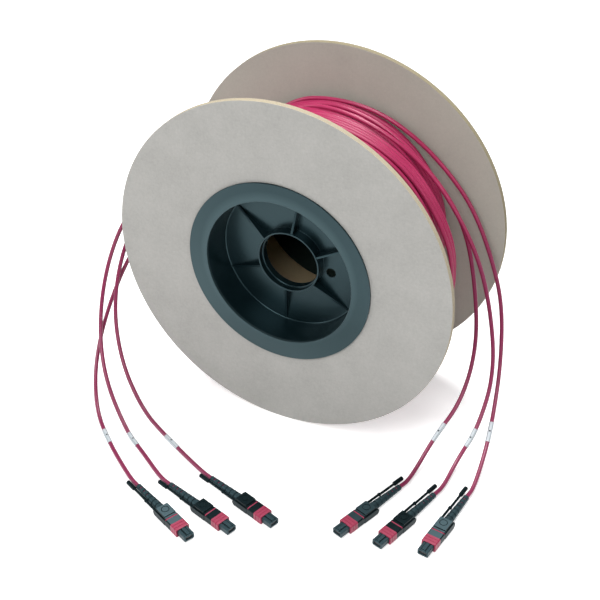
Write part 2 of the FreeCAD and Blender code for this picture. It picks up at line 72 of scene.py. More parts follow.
camera_data = bpy.data.cameras.new("camera")
camera_data.sensor_width = 36
camera_data.lens = camera_data.sensor_width * FOCAL_LENGTH_IN_WIDTHS
camera = bpy.data.objects.new("camera", camera_data)
scene.collection.objects.link(camera)
towards_camera = Vector((
    math.sin(VIEW_TURN) * math.cos(VIEW_TILT),
    -math.cos(VIEW_TURN) * math.cos(VIEW_TILT),
    math.sin(VIEW_TILT),
))
camera.location = LOOK_AT + towards_camera * VIEW_DISTANCE
camera.rotation_euler = (-towards_camera).to_track_quat("-Z", "Y").to_euler()
scene.camera = camera
print("camera at", [round(v, 3) for v in camera.location], "lens", round(camera_data.lens, 1))

# %% [markdown]
# Small helpers keep the shader trees readable. `add_node` makes one node, sets its properties and fills its
# sockets: a socket that is given another node's output is linked, and anything else is a plain value.

# %% Shader helpers
def add_node(tree, kind, sockets=None, **settings):
    made = tree.nodes.new("ShaderNode" + kind)
    for name, value in settings.items():
        setattr(made, name, value)
    for name, value in (sockets or {}).items():
        if isinstance(value, bpy.types.NodeSocket):
            tree.links.new(value, made.inputs[name])
        else:
            made.inputs[name].default_value = value
    return made


def math_node(tree, operation, first, second=0.0, third=0.0):
    return add_node(tree, "Math", {0: first, 1: second, 2: third}, operation=operation).outputs[0]


def mix_colours(tree, factor, first, second):
    return add_node(tree, "Mix", {0: factor, 6: first, 7: second}, data_type="RGBA").outputs[2]


def colour(red, green, blue):
    return (red, green, blue, 1.0)


def principled(name):
    """A material with its node tree, its main shader and the object's own coordinates."""
    material = bpy.data.materials.new(name)
    material.use_nodes = True
    tree = material.node_tree
    place = add_node(tree, "TexCoord").outputs["Object"]
    return material, tree, tree.nodes["Principled BSDF"], place


def bump(tree, shader, height, strength, distance):
    made = add_node(tree, "Bump", {"Height": height, "Strength": strength, "Distance": distance})
    tree.links.new(made.outputs["Normal"], shader.inputs["Normal"])


def start_group(name, inputs, outputs):
    """An empty node group with float outputs, and the sockets to wire it with."""
    group = bpy.data.node_groups.new(name, "ShaderNodeTree")
    for socket, kind in inputs:
        group.interface.new_socket(socket, in_out="INPUT", socket_type="NodeSocket" + kind)
    for socket in outputs:
        group.interface.new_socket(socket, in_out="OUTPUT", socket_type="NodeSocketFloat")
    source = group.nodes.new("NodeGroupInput")
    result = group.nodes.new("NodeGroupOutput")
    return group, source.outputs, result.inputs


# %% [markdown]
# Floor and light. The floor is a plain pale sheet that keeps a soft shadow. It glows a little, but only to
# the camera and in reflections, so it looks white without lighting the object from below. The main lamp is
# wide and stands over the camera, so the far flange is lit as evenly as the near one. The others open the
# sides and the top. Each lamp has its place in metres, its width and its power.

# %% Floor and light
WHITE = colour(1.0, 1.0, 1.0)
FLOOR_TONE = colour(0.86, 0.86, 0.86)
FLOOR_REACH, FLOOR_GLOW, WORLD_LIGHT = 40.0, 0.5, 0.1
LAMPS_LOOK_AT = Vector((0, 0, 0.12))


def make_floor():
    bm = bmesh.new()
    bmesh.ops.create_grid(bm, x_segments=1, y_segments=1, size=FLOOR_REACH)
    mesh = bpy.data.meshes.new("floor")
    bm.to_mesh(mesh)
    bm.free()
    floor = bpy.data.objects.new("floor", mesh)
    scene.collection.objects.link(floor)
    material, tree, shader, _ = principled("pale_floor")
    shader.inputs["Base Color"].default_value = FLOOR_TONE
    shader.inputs["Roughness"].default_value = 0.9
    shader.inputs["Specular IOR Level"].default_value = 0.1
    shader.inputs["Emission Color"].default_value = WHITE
    rays = add_node(tree, "LightPath").outputs
    mirrored = math_node(tree, "MAXIMUM", rays["Is Glossy Ray"], rays["Is Transmission Ray"])
    seen = math_node(tree, "MAXIMUM", rays["Is Camera Ray"], mirrored)
    tree.links.new(math_node(tree, "MULTIPLY", seen, FLOOR_GLOW), shader.inputs["Emission Strength"])
    mesh.materials.append(material)


def area_lamp(name, place, size, power):
    data = bpy.data.lights.new(name, "AREA")
    data.shape = "DISK"
    data.size = size
    data.energy = power
    lamp = bpy.data.objects.new(name, data)
    lamp.location = place
    lamp.rotation_euler = (LAMPS_LOOK_AT - lamp.location).to_track_quat("-Z", "Y").to_euler()
    scene.collection.objects.link(lamp)


make_floor()
area_lamp("main_lamp", (0.1, -2.5, 2.7), 2.4, 83)
area_lamp("left_lamp", (-1.6, -1.0, 0.9), 1.0, 10)
area_lamp("right_lamp", (1.6, -0.6, 1.0), 1.0, 6)
area_lamp("top_lamp", (-0.05, 0.45, 1.8), 0.8, 32)
world = bpy.data.worlds.new("soft_world")
scene.world = world
world.use_nodes = True
background = world.node_tree.nodes["Background"].inputs
background["Color"].default_value = WHITE
background["Strength"].default_value = WORLD_LIGHT
scene.view_settings.view_transform = "Standard"

# %% [markdown]
# Moulded plastic and the cable jacket share one recipe, so their surface is a node group: a fine noise for
# the grain of an eroded mould, and a broad one for the slow changes of tone and gloss. Each finish mixes
# two tones of its colour with the broad noise, varies its gloss with both, and has the grain as a shallow
# bump. The legs have the jacket too, a little glossier, with painted shade that darkens it low down, near
# the floor. Heights come from Object coordinates, which are the frame's own metres.

# %% Moulded finish
def make_fine_grain():
    group, source, result = start_group(
        "fine_grain", [("Vector", "Vector"), ("Grain Scale", "Float"), ("Cloud Scale", "Float")],
        ["Grain", "Cloud"])
    for output, scale, detail in (("Grain", "Grain Scale", 3.0), ("Cloud", "Cloud Scale", 2.0)):
        noise = add_node(group, "TexNoise", {"Vector": source["Vector"], "Scale": source[scale],
                                             "Detail": detail, "Roughness": 0.55})
        group.links.new(noise.outputs["Fac"], result[output])
    return group


FINE_GRAIN = make_fine_grain()
CLOUD_SCALE, GLOSS_CHANGE = 45.0, 0.06
GRAIN_STRENGTH, GRAIN_DEPTH = 0.35, 0.02 * MM
JACKET_DARK, JACKET_LIGHT = colour(0.32, 0.018, 0.075), colour(0.42, 0.028, 0.108)
# The low tone and the two heights below which it shows are painted shade on the legs near the floor.
JACKET_LOW_SHADE, JACKET_GRAIN = colour(0.23, 0.021, 0.075), 1800.0
LOW_SHADE_FROM, LOW_SHADE_BELOW = 0.21, 0.14


def moulded(name, dark, light, rough, grain_scale, specular=0.5, tint=WHITE):
    material, tree, shader, place = principled(name)
    surface = add_node(tree, "Group", {"Vector": place, "Grain Scale": grain_scale,
                                       "Cloud Scale": CLOUD_SCALE}, node_tree=FINE_GRAIN).outputs
    tree.links.new(mix_colours(tree, surface["Cloud"], dark, light), shader.inputs["Base Color"])
    uneven = math_node(tree, "MULTIPLY_ADD", surface["Grain"], GLOSS_CHANGE, rough - GLOSS_CHANGE)
    gloss = math_node(tree, "MULTIPLY_ADD", surface["Cloud"], GLOSS_CHANGE, uneven)
    tree.links.new(gloss, shader.inputs["Roughness"])
    shader.inputs["Specular IOR Level"].default_value = specular
    shader.inputs["Specular Tint"].default_value = tint
    bump(tree, shader, surface["Grain"], GRAIN_STRENGTH, GRAIN_DEPTH)
    return material


def mix_in(material, mask, tone):
    """Mixes another tone into a finish where a mask is white."""
    tree = material.node_tree
    base = tree.nodes["Principled BSDF"].inputs["Base Color"]
    tree.links.new(mix_colours(tree, mask, base.links[0].from_socket, tone), base)


def cable_jacket(name, rough, specular):
    return moulded(name, JACKET_DARK, JACKET_LIGHT, rough, JACKET_GRAIN, specular)


def leg_jacket():
    """The same jacket, a little glossier, and darker low down by painted shade."""
    material = cable_jacket("leg_jacket", rough=0.3, specular=0.5)
    tree = material.node_tree
    place = add_node(tree, "TexCoord").outputs["Object"]
    height = add_node(tree, "SeparateXYZ", {0: place}).outputs["Z"]
    low_shade = add_node(tree, "MapRange", {0: height, 1: LOW_SHADE_FROM, 2: LOW_SHADE_BELOW}).outputs[0]
    mix_in(material, low_shade, JACKET_LOW_SHADE)
    return material


JACKET = cable_jacket("cable_jacket", rough=0.36, specular=0.36)
LEG_JACKET = leg_jacket()
print("node group", FINE_GRAIN.name, "and finishes", JACKET.name, LEG_JACKET.name)

# %% [markdown]
# The legs. A free cable is one smooth curve: a NURBS spline with the route's points as its control points
# and a round bevel for the jacket. The route is the solid model's own list, in millimetres, and its last
# points come from the plug, as distances behind its nose, so that the cable runs straight into the boot and
# on inside it. Order 3 and the end points are set after the points are added, or the spline would stay a
# chain of straight runs.

# %% Cable legs
CABLE_DIAMETER = 3.6
CABLE_STATIONS = [86.0, 73.0, 38.3]
LEG_ROUTES = {
    "left_1": [(6, -3, 250), (-31.5, -8, 250.5), (-72, -14, 230), (-106, -24, 196.5), (-132.5, -36, 155),
               (-155.5, -53.5, 112.5), (-165, -80, 66), (-161.5, -107.5, 31), (-142.5, -137, 7.5),
               (-111.5, -164, 3.5)],
    "left_2": [(14, -15, 249), (-24.5, -20, 252), (-66, -24, 234.5), (-114, -35, 202), (-153, -49.5, 160.5),
               (-168, -66.5, 111.5), (-165.5, -90, 63.5), (-146, -116, 27), (-106.5, -144.5, 2),
               (-78.5, -162.5, 4.5)],
    "left_3": [(22, 10, 247.5), (-17.5, 6, 253.5), (-60, 2, 238.5), (-104, -12, 210.5), (-140, -31.5, 173),
               (-157.5, -53, 127.5), (-157, -77.5, 80), (-138.5, -100, 38.5), (-105.5, -120.5, 9.5),
               (-70, -137.5, 4.5)],
    "right_1": [(-47.5, 42, 239.5), (-14.5, 41.5, 254.5), (22, 39.5, 253.5), (57, 37, 241), (95, 37, 209),
                (122, 37.5, 171), (138.5, 27, 122), (149.5, 10.5, 74.5), (149, -17, 36.5),
                (138, -48, 16.5)],
    "right_2": [(-60, 36, 232), (-28, 35, 251.5), (5, 33, 255.5), (41, 30, 249), (73.5, 31.5, 231),
                (102.5, 33.5, 203), (134, 30.5, 158), (153.5, 21.5, 115), (170, 1, 63.5),
                (169, -27.5, 23.5), (162, -55.5, 7)],
    "right_3": [(-72, 50, 221.5), (-44, 50.5, 246), (-10.5, 50, 255), (29, 50, 253.5), (63, 51, 239),
                (95, 53, 213), (122.5, 52.5, 181.5), (145, 46.5, 139.5), (159.5, 39.5, 102.5),
                (169.5, 18.5, 58.5), (175.5, -8.5, 26), (180.5, -37.5, 11)],
}
mounts = {mount["name"]: mount for mount in frame["record"]["mounts"]}


def plug_place(leg):
    """From a plug's own millimetres, with the tip of its nose at zero and +X forward, to the frame."""
    mount = mounts["plug_" + leg]
    heading = Vector(mount["axis"]).to_track_quat("X", "Z").to_matrix().to_4x4()
    return Matrix.Translation(mount["pos_m"]) @ heading @ Matrix.Scale(MM, 4)


def smooth_curve(name, points, material):
    """A length of cable on the reel along these control points."""
    data = bpy.data.curves.new(name, "CURVE")
    data.dimensions = "3D"
    data.resolution_u = 10
    data.bevel_depth = CABLE_DIAMETER / 2 * MM
    data.bevel_resolution = 5
    data.use_fill_caps = True
    spline = data.splines.new("NURBS")
    spline.points.add(len(points) - 1)
    for point, place in zip(spline.points, points):
        point.co = (*place, 1.0)
    spline.order_u = 3
    spline.use_endpoint_u = True
    data.materials.append(material)
    piece = bpy.data.objects.new(name, data)
    scene.collection.objects.link(piece)
    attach(piece, "reel")
    return piece


def centre_line(curve):
    """Points along a curve's own spline, read from it without its bevel."""
    bare = curve.data.copy()
    bare.bevel_depth = 0.0
    bare.resolution_u = 24
    holder = bpy.data.objects.new("centre_line", bare)
    scene.collection.objects.link(holder)
    bpy.context.view_layer.update()
    mesh = bpy.data.meshes.new_from_object(holder.evaluated_get(bpy.context.evaluated_depsgraph_get()))
    points = [vertex.co.copy() for vertex in mesh.vertices]
    bpy.data.objects.remove(holder)
    bpy.data.meshes.remove(mesh)
    return points


def line_length(points):
    return sum((b - a).length for a, b in zip(points, points[1:]))


leg_curves, leg_lines = {}, {}
for leg in LEGS:
    plug = plug_place(leg)
    route = [Vector(point) * MM for point in LEG_ROUTES[leg]]
    route += [plug @ Vector((-back, 0, 0)) for back in CABLE_STATIONS]
    leg_curves[leg] = smooth_curve("cable_" + leg, route, LEG_JACKET)
    leg_lines[leg] = centre_line(leg_curves[leg])
    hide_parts("leg_" + leg)
    print("cable", leg, "is", round(line_length(leg_lines[leg]) / MM), "mm long")

# %% [markdown]
# The last turns hang loose. They come out of the winding near the top, stand off it as a bundle on the right
# and go back in underneath. The table has the widest strand's angle round the reel and its distance from
# the axis. The others share its shape. Each has its own place along the axis, its share of the sag and a
# small turn in degrees, so the strands fan out.

# %% Loose last turns
REEL_CENTRE = (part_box("front_flange")[0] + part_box("front_flange")[1]) / 2
AXIS_HEIGHT = REEL_CENTRE.z
WINDING_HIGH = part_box("cable_winding")[1]
WINDING_RADIUS = (WINDING_HIGH.z - AXIS_HEIGHT) / MM
LOOSE_TURN = [(118, 100.5), (106, 103.8), (92, 105), (78, 105.3), (64, 106.8), (50, 109.3), (38, 111.3),
              (27, 113.2), (16, 116.9), (4, 122.1), (-9, 126), (-22, 127.2), (-35, 125.8), (-48, 121.3),
              (-60, 115), (-71, 109.8), (-82, 106), (-94, 104.8), (-108, 101.5)]
STRANDS = [(4.0, 0.6, 2), (8.0, 0.97, 1), (11.7, 1.0, 0), (15.3, 0.96, -2), (18.8, 0.86, 2)]


def loose_point(angle, reach, along, share, turned):
    sag = max(reach - WINDING_RADIUS, 0) * (share - 1)
    turn = math.radians(angle + turned)
    distance = reach + sag
    return Vector((distance * math.cos(turn), along, distance * math.sin(turn) + AXIS_HEIGHT / MM)) * MM


for number, (along, share, turned) in enumerate(STRANDS, start=1):
    points = [loose_point(angle, reach, along, share, turned) for angle, reach in LOOSE_TURN]
    strand = smooth_curve("loose_turn_%d" % number, points, JACKET)
    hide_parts("cable_winding")
    length = line_length(centre_line(strand))
    print("loose strand", number, "is", round(length / MM), "mm long")

# %% [markdown]
# Rigid pieces are bmeshes. These helpers finish one: rounding picks every edge that turns by more degrees
# than a limit and bevels it, and the finished mesh is shaded smooth with its remaining sharp edges marked. A
# weighted normal keeps large flat faces flat beside their rounded edges.

# %% Mesh helpers
MERGE_DISTANCE = 1e-7
NEAR = 0.01
SMOOTH_UP_TO = math.radians(42)


def sharp_edges(bm, limit=35):
    bm.normal_update()
    return [e for e in bm.edges if len(e.link_faces) == 2 and e.calc_face_angle(0) > math.radians(limit)]


def edges_where(bm, test):
    return [e for e in bm.edges if all(test(v.co) for v in e.verts)]


def round_edges(bm, edges, width, segments=3):
    bmesh.ops.bevel(bm, geom=edges, offset=width, offset_type="OFFSET", affect="EDGES", segments=segments,
                    profile=0.5, clamp_overlap=True, material=-1)


def as_mesh(bm, name):
    bmesh.ops.remove_doubles(bm, verts=bm.verts, dist=MERGE_DISTANCE)
    bmesh.ops.recalc_face_normals(bm, faces=bm.faces)
    mesh = bpy.data.meshes.new(name)
    bm.to_mesh(mesh)
    bm.free()
    return mesh


def joined(name, material, *shapes):
    """One mesh from separately rounded shapes, with its finish."""
    whole = bmesh.new()
    for shape in shapes:
        mesh = as_mesh(shape, "shape")
        whole.from_mesh(mesh)
        bpy.data.meshes.remove(mesh)
    mesh = bpy.data.meshes.new(name)
    whole.to_mesh(mesh)
    whole.free()
    mesh.materials.append(material)
    return mesh


def carved(bm, cutter):
    """A shape with a cutter's volume taken away."""
    block, tool = (bpy.data.objects.new(name, as_mesh(shape, name))
                   for name, shape in (("block", bm), ("tool", cutter)))
    for helper in (block, tool):
        scene.collection.objects.link(helper)
    cut = block.modifiers.new("cut", "BOOLEAN")
    cut.operation = "DIFFERENCE"
    cut.solver = "EXACT"
    cut.object = tool
    bpy.context.view_layer.update()
    result = bpy.data.meshes.new_from_object(block.evaluated_get(bpy.context.evaluated_depsgraph_get()))
    made = bmesh.new()
    made.from_mesh(result)
    for mesh in (block.data, tool.data, result):
        bpy.data.meshes.remove(mesh)
    return made


def verts_in(geometry):
    return [item for item in geometry if isinstance(item, bmesh.types.BMVert)]


def pushed(outline, step):
    """A closed outline pushed straight out into a solid."""
    bm = bmesh.new()
    face = bm.faces.new([bm.verts.new(corner) for corner in outline])
    grown = bmesh.ops.extrude_face_region(bm, geom=[face])["geom"]
    bmesh.ops.translate(bm, vec=step, verts=verts_in(grown))
    bmesh.ops.recalc_face_normals(bm, faces=bm.faces)
    return bm


def spun(outline, axis, steps):
    """A closed outline beside an axis, turned into a ring."""
    bm = bmesh.new()
    corners = [bm.verts.new(point) for point in outline]
    edges = [bm.edges.new((a, b)) for a, b in zip(corners, corners[1:] + corners[:1])]
    bmesh.ops.spin(bm, geom=corners + edges, cent=(0, 0, 0), axis=axis, angle=math.tau, steps=steps,
                   use_merge=True, use_duplicate=False)
    return bm


def add_piece(name, mesh, body, slot, *nodes):
    """Shades a mesh, puts it in the scene on its body and lets it stand for its nodes."""
    mesh.shade_smooth()
    mesh.set_sharp_from_angle(angle=SMOOTH_UP_TO)
    piece = bpy.data.objects.new(name, mesh)
    scene.collection.objects.link(piece)
    weighted = piece.modifiers.new("flat_faces", "WEIGHTED_NORMAL")
    weighted.keep_sharp = True
    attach(piece, body)
    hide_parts(*nodes)
    return piece


def refinish(node, material):
    """Gives a piece of the solid model, which is shown as it is, its finish."""
    piece = frame["nodes"][node]
    piece.data.materials.clear()
    piece.data.materials.append(material)
    return piece


# %% [markdown]
# Board is grey paper on its faces and raw cream pulp on its cut rim. The paper is a node group: short
# fibres stretched in two directions over a soft cloudy mottle. Where a point is as far from the reel's axis
# as the rim, the material changes to pulp, with thin layers along the reel's axis.

# %% Board finish
FLANGE_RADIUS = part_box("front_flange")[1].z - AXIS_HEIGHT
FIBRE_SCALE, MOTTLE_SCALE, LAYER_SCALE = 650.0, 30.0, 320.0
MOTTLE_SHARE, SPECKLE_CONTRAST = 0.4, 1.7
RIM_DEPTH, FIBRE_DEPTH = 0.2 * MM, 0.06 * MM


def make_paper_fibre():
    group, source, result = start_group("paper_fibre", [("Vector", "Vector")], ["Fibre", "Mottle"])
    strands = []
    for stretch in ((0.5, 1.0, 1.0), (1.0, 1.0, 0.5)):
        laid = add_node(group, "Mapping", {"Vector": source["Vector"], "Scale": stretch})
        strand = add_node(group, "TexNoise", {"Vector": laid.outputs[0], "Scale": FIBRE_SCALE,
                                              "Detail": 4.0, "Roughness": 0.75})
        strands.append(strand.outputs["Fac"])
    fibre = math_node(group, "MULTIPLY", math_node(group, "ADD", *strands), 0.5)
    mottle = add_node(group, "TexNoise", {"Vector": source["Vector"], "Scale": MOTTLE_SCALE,
                                          "Detail": 6.0, "Roughness": 0.7})
    group.links.new(fibre, result["Fibre"])
    group.links.new(mottle.outputs["Fac"], result["Mottle"])
    return group


PAPER_FIBRE = make_paper_fibre()


def round_the_axis(tree, place):
    """A point's distance from the reel's axis and its height over it."""
    axes = add_node(tree, "SeparateXYZ", {0: place}).outputs
    height = math_node(tree, "SUBTRACT", axes["Z"], AXIS_HEIGHT)
    across_squared = math_node(tree, "POWER", axes["X"], 2.0)
    height_squared = math_node(tree, "POWER", height, 2.0)
    return math_node(tree, "SQRT", math_node(tree, "ADD", across_squared, height_squared)), height


def board(name, face_dark, face_light, rim_dark, rim_light):
    material, tree, shader, place = principled(name)
    paper = add_node(tree, "Group", {"Vector": place}, node_tree=PAPER_FIBRE).outputs
    mottled = math_node(tree, "MULTIPLY", paper["Mottle"], MOTTLE_SHARE)
    tone = math_node(tree, "MULTIPLY_ADD", paper["Fibre"], 1 - MOTTLE_SHARE, mottled)
    speckle = math_node(tree, "MULTIPLY_ADD", tone, SPECKLE_CONTRAST, (1 - SPECKLE_CONTRAST) / 2)
    face = mix_colours(tree, speckle, face_dark, face_light)
    reach, _ = round_the_axis(tree, place)
    on_rim = math_node(tree, "GREATER_THAN", reach, FLANGE_RADIUS - RIM_DEPTH)
    layers = add_node(tree, "TexWave", {"Vector": place, "Scale": LAYER_SCALE, "Distortion": 3.0,
                                        "Detail": 2.0, "Detail Scale": 4.0}, bands_direction="Y")
    rim = mix_colours(tree, layers.outputs["Fac"], rim_dark, rim_light)
    tree.links.new(mix_colours(tree, on_rim, face, rim), shader.inputs["Base Color"])
    tree.links.new(math_node(tree, "MULTIPLY_ADD", paper["Fibre"], 0.15, 0.78), shader.inputs["Roughness"])
    shader.inputs["Specular IOR Level"].default_value = 0.25
    bump(tree, shader, paper["Fibre"], 0.5, FIBRE_DEPTH)
    return material


FRONT_BOARD = board("grey_board", colour(0.29, 0.286, 0.271), colour(0.49, 0.482, 0.459),
                    colour(0.34, 0.29, 0.2), colour(0.5, 0.44, 0.33))
REAR_BOARD = board("warm_grey_board", colour(0.32, 0.308, 0.27), colour(0.458, 0.441, 0.386),
                   colour(0.22, 0.19, 0.12), colour(0.34, 0.3, 0.2))
TUBE_BOARD = board("brown_board", colour(0.38, 0.3, 0.18), colour(0.55, 0.44, 0.27),
                   colour(0.3, 0.2, 0.12), colour(0.4, 0.3, 0.2))
print("board finishes:", FRONT_BOARD.name, REAR_BOARD.name, TUBE_BOARD.name)

# %% [markdown]
# The flanges are die-cut discs of that board. A rectangle beside the axis is spun into the disc, and its
# edges get the small roll that a die leaves. Spinning is the short way to anything round, and it gives an
# even mesh that bevels cleanly. The tube between the flanges is shown as the solid model has it.

# %% Flanges
FLANGE_HOLE_RADIUS, RIM_ROLL, FLANGE_STEPS = 68.0, 0.45, 200
TO_REEL = Matrix.Translation((0, 0, AXIS_HEIGHT)) @ Matrix.Scale(MM, 4)


def flange(name, material):
    low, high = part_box(name)
    radius = FLANGE_RADIUS / MM
    outline = [(FLANGE_HOLE_RADIUS, low.y / MM, 0), (radius, low.y / MM, 0),
               (radius, high.y / MM, 0), (FLANGE_HOLE_RADIUS, high.y / MM, 0)]
    bm = spun(outline, (0, 1, 0), FLANGE_STEPS)
    round_edges(bm, sharp_edges(bm), RIM_ROLL)
    bmesh.ops.transform(bm, matrix=TO_REEL, verts=bm.verts)
    add_piece(name.replace("flange", "disc"), joined(name, material, bm), "reel", "reel_board", name)


flange("front_flange", FRONT_BOARD)
flange("rear_flange", REAR_BOARD)
refinish("core_tube", TUBE_BOARD)
print("flange radius", round(FLANGE_RADIUS / MM, 1), "mm")

# %% [markdown]
# The hubs are black mouldings pressed into the reel's ends: a flat ring on the flange, a cup, a boss with a
# stepped spindle bore, six gusset ribs and one hole for a drive pin. The cup is a spun section with a wide
# fillet round its floor and small ones elsewhere, the hole is carved out of the floor, and one rib is drawn
# and copied round. Their plastic is glossy and nearly black, so what shows is mostly the pale floor in it.

# %% Hubs
# The ring's painted sheen: a greyer tone from the first radius inwards to the second, and towards the ring's
# lower side.
SHEEN_START_RADIUS, SHEEN_FULL_RADIUS, FACE_DEPTH = 75 * MM, 68 * MM, 0.5 * MM
RING_SHEEN_TONE = colour(0.026, 0.042, 0.046)


def hub_plastic():
    """Glossy inside the cup, with a painted sheen that greys the ring towards its inner edge and its lower
    side.
    """
    material = moulded("hub_plastic", colour(0.002, 0.006, 0.008), colour(0.004, 0.01, 0.012), 0.3, 2200.0,
                       specular=0.6, tint=colour(0.5, 0.85, 0.95))
    tree = material.node_tree
    place = add_node(tree, "TexCoord").outputs["Object"]
    reach, height = round_the_axis(tree, place)
    inward = add_node(tree, "MapRange", {0: reach, 1: SHEEN_START_RADIUS, 2: SHEEN_FULL_RADIUS}).outputs[0]
    downward = math_node(tree, "MULTIPLY_ADD", math_node(tree, "DIVIDE", height, reach), -0.5, 0.5)
    along = math_node(tree, "ABSOLUTE", add_node(tree, "SeparateXYZ", {0: place}).outputs["Y"])
    on_ring = math_node(tree, "GREATER_THAN", along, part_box("rear_flange")[1].y - FACE_DEPTH)
    painted_sheen = math_node(tree, "MULTIPLY", on_ring, math_node(tree, "MAXIMUM", inward, downward))
    mix_in(material, painted_sheen, RING_SHEEN_TONE)
    return material


HUB_PLASTIC = hub_plastic()
HUB_SECTION = [
    (82, 0), (82, 1.8), (65.5, 1.8), (64, -26.6), (28, -26.6), (28, -17.3), (26.5, -17.3), (26.5, -22.3),
    (25.5, -22.3), (25.5, -28.6), (66, -28.6), (67.5, 0),
]
FLOOR_DEPTH, FLOOR_EDGE_RADIUS, FLOOR_FILLET, HUB_EDGE, HUB_STEPS = -26.6, 63.5, 1.1, 0.4, 180
RIB_OUTLINE = [(27.3, -1, -17.6), (64, -1, -26.4), (64, -1, -27.6), (27.3, -1, -27.6)]
RIB_THICKNESS, RIB_EDGE, RIB_COUNT, CREST_ABOVE = 2.0, 0.35, 6, -26.5
RIB_TURN = math.radians(24)
DRIVE_HOLE_RADIUS, DRIVE_HOLE_REACH, DRIVE_HOLE_CUT = 4.3, 35.2, 8
DRIVE_HOLE_TURN = math.radians(-32.5)


def hub_shell():
    bm = spun([(radius, 0, depth) for radius, depth in HUB_SECTION], (0, 0, 1), HUB_STEPS)
    at_floor = edges_where(bm, lambda v: abs(v.z - FLOOR_DEPTH) < NEAR and v.xy.length > FLOOR_EDGE_RADIUS)
    round_edges(bm, at_floor, FLOOR_FILLET, 4)
    round_edges(bm, sharp_edges(bm), HUB_EDGE)
    cutter = bmesh.new()
    hole = Matrix.Rotation(DRIVE_HOLE_TURN, 4, "Z") @ Matrix.Translation((DRIVE_HOLE_REACH, 0, FLOOR_DEPTH))
    bmesh.ops.create_cone(cutter, cap_ends=True, segments=40, radius1=DRIVE_HOLE_RADIUS,
                          radius2=DRIVE_HOLE_RADIUS, depth=DRIVE_HOLE_CUT, matrix=hole)
    return carved(bm, cutter)


def rib(number):
    bm = pushed(RIB_OUTLINE, (0, RIB_THICKNESS, 0))
    upper = edges_where(bm, lambda v: v.z > CREST_ABOVE)
    round_edges(bm, [e for e in upper if abs(e.verts[0].co.y - e.verts[1].co.y) < NEAR], RIB_EDGE, 2)
    turn = Matrix.Rotation(math.tau * number / RIB_COUNT, 3, "Z")
    bmesh.ops.rotate(bm, cent=(0, 0, 0), matrix=turn, verts=bm.verts)
    return bm


hub_mesh = joined("hub", HUB_PLASTIC, hub_shell(), *[rib(number) for number in range(RIB_COUNT)])
for name, side in (("front_hub", -1), ("rear_hub", 1)):
    outer_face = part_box(name.replace("hub", "flange"))[1 if side > 0 else 0].y
    mesh = hub_mesh.copy()
    facing = Matrix.Translation((0, outer_face, AXIS_HEIGHT)) @ Matrix.Rotation(-side * math.pi / 2, 4, "X")
    mesh.transform(facing @ Matrix.Rotation(RIB_TURN, 4, "Z") @ Matrix.Scale(MM, 4))
    add_piece(name.replace("hub", "cup"), mesh, "reel", "hub_plastic", name)
print("a hub has", len(hub_mesh.polygons), "faces")

# %% [markdown]
# The winding. Three cables go round together, so the top layer is three helices side by side, and the layer
# under it three more that climb the other way. Spinning a circle with a small step along the axis draws one
# helix, and the others are copies. Real turns don't lie perfectly, so their radius wanders in a few waves,
# each with its depth, its count round the reel and its change along the axis. The ends of the winding sink
# towards the flanges, most of all at the sides.

# %% Winding
CABLES, SIDES, STEPS_PER_TURN = 3, 10, 96
WOUND_TURNS, UNDER_LAYER_DEPTH = 9 + 1 / 6, 2.9
WANDER_WAVES, WANDER_SINK = [(0.3, 2, 0.11), (0.2, 5, -0.43), (0.5, 3, 0.6)], 0.4
SHOULDER_FROM, SHOULDER_SLOPE, SHOULDER_TURN = 46.0, 0.42, math.radians(-20)
SHOULDER_SHARE, SHOULDER_CHANGE = 0.65, 0.45


def one_helix(bm, radius, first, pitch, turns):
    """One cable wound from its first place along the axis."""
    ring = bmesh.ops.create_circle(bm, segments=SIDES, radius=CABLE_DIAMETER / 2,
                                   matrix=Matrix.Translation((radius, first, 0)))["verts"]
    edges = list({edge for vert in ring for edge in vert.link_edges})
    steps = int(turns * STEPS_PER_TURN)
    last = bmesh.ops.spin(bm, geom=ring + edges, cent=(0, 0, 0), axis=(0, 1, 0), angle=math.tau * turns,
                          dvec=(0, pitch * turns / steps, 0), steps=steps, use_duplicate=False)["geom_last"]
    ends = [edge for edge in edges + last if isinstance(edge, bmesh.types.BMEdge) and edge.is_valid]
    bmesh.ops.holes_fill(bm, edges=ends, sides=SIDES)


def copied_verts(bm, geometry):
    return verts_in(bmesh.ops.duplicate(bm, geom=geometry)["geom"])


def let_turns_wander(bm):
    for vert in bm.verts:
        turn, along = math.atan2(vert.co.z, vert.co.x), vert.co.y
        wander = sum(depth * math.sin(count * turn + change * along)
                     for depth, count, change in WANDER_WAVES)
        sunk = SHOULDER_SHARE + SHOULDER_CHANGE * math.cos(2 * turn + SHOULDER_TURN)
        shoulder = max(abs(along) - SHOULDER_FROM, 0) * SHOULDER_SLOPE * sunk
        swell = 1 + (wander - WANDER_SINK - shoulder) / math.hypot(vert.co.x, vert.co.z)
        vert.co.x *= swell
        vert.co.z *= swell


def winding():
    bm = bmesh.new()
    half = WINDING_HIGH.y / MM
    pitch = (2 * half - CABLES * CABLE_DIAMETER) / WOUND_TURNS
    top_radius = WINDING_RADIUS - CABLE_DIAMETER / 2
    one_helix(bm, top_radius, CABLE_DIAMETER / 2 - half, pitch, WOUND_TURNS)
    helix = bm.verts[:] + bm.edges[:] + bm.faces[:]
    for number in range(1, CABLES):
        bmesh.ops.translate(bm, vec=(0, number * CABLE_DIAMETER, 0), verts=copied_verts(bm, helix))
    inwards = 1 - UNDER_LAYER_DEPTH / top_radius
    under_layer = copied_verts(bm, bm.verts[:] + bm.edges[:] + bm.faces[:])
    bmesh.ops.scale(bm, vec=(inwards, -1, inwards), verts=under_layer)
    let_turns_wander(bm)
    bmesh.ops.transform(bm, matrix=TO_REEL, verts=bm.verts)
    return joined("wound_turns", JACKET, bm)


wound = add_piece("wound_turns", winding(), "reel", "cable_jacket", "cable_winding")
print("winding has", len(wound.data.polygons), "faces, radius", round(WINDING_RADIUS, 1), "mm")
